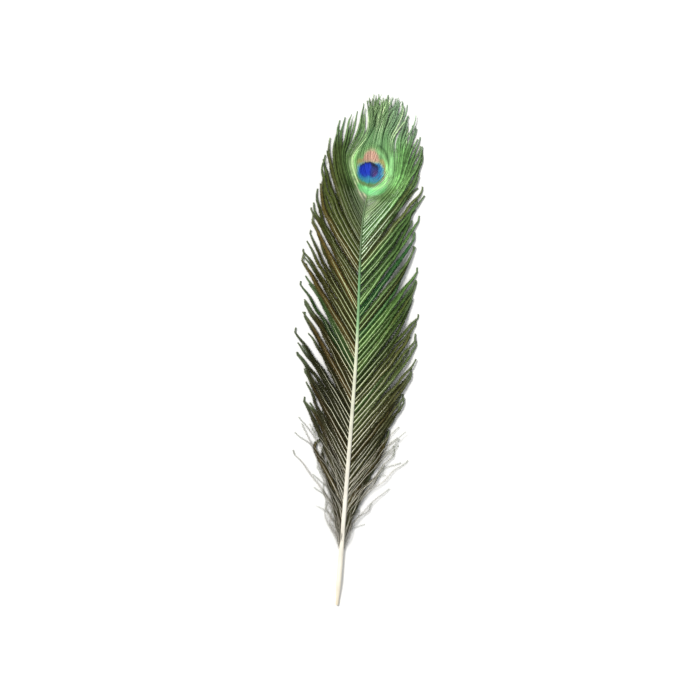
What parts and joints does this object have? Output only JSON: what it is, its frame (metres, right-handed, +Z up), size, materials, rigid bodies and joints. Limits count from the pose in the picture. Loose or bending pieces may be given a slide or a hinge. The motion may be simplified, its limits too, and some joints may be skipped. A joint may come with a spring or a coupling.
{
  "type": "peacock feather",
  "caption": "Loose eyed tail feather lying face up: bare pale quill, long thin shaft, open metallic green barbs down both sides and a closed round blue and copper eye near the tip.",
  "frame": {"origin": "on the surface that the feather lies on, under the middle of its box", "axes": "+Y along the feather from the quill's end to the tip, +Z up out of the eyed face, +X to the right seen from above"},
  "size_m": [0.068, 0.3, 0.007],
  "materials": {
    "barbs": "fine barbs and barbules with a metallic green to bronze sheen",
    "eye": "closed vane with metallic rings: royal blue heart, turquoise, copper, olive and bright green",
    "shaft": "smooth horn, ivory at the quill and tan to green towards the eye",
    "down": "thin dull brown and grey barbs without sheen"
  },
  "bodies": {
    "root": {"feather": "barbs"}
  },
  "joints": []
}
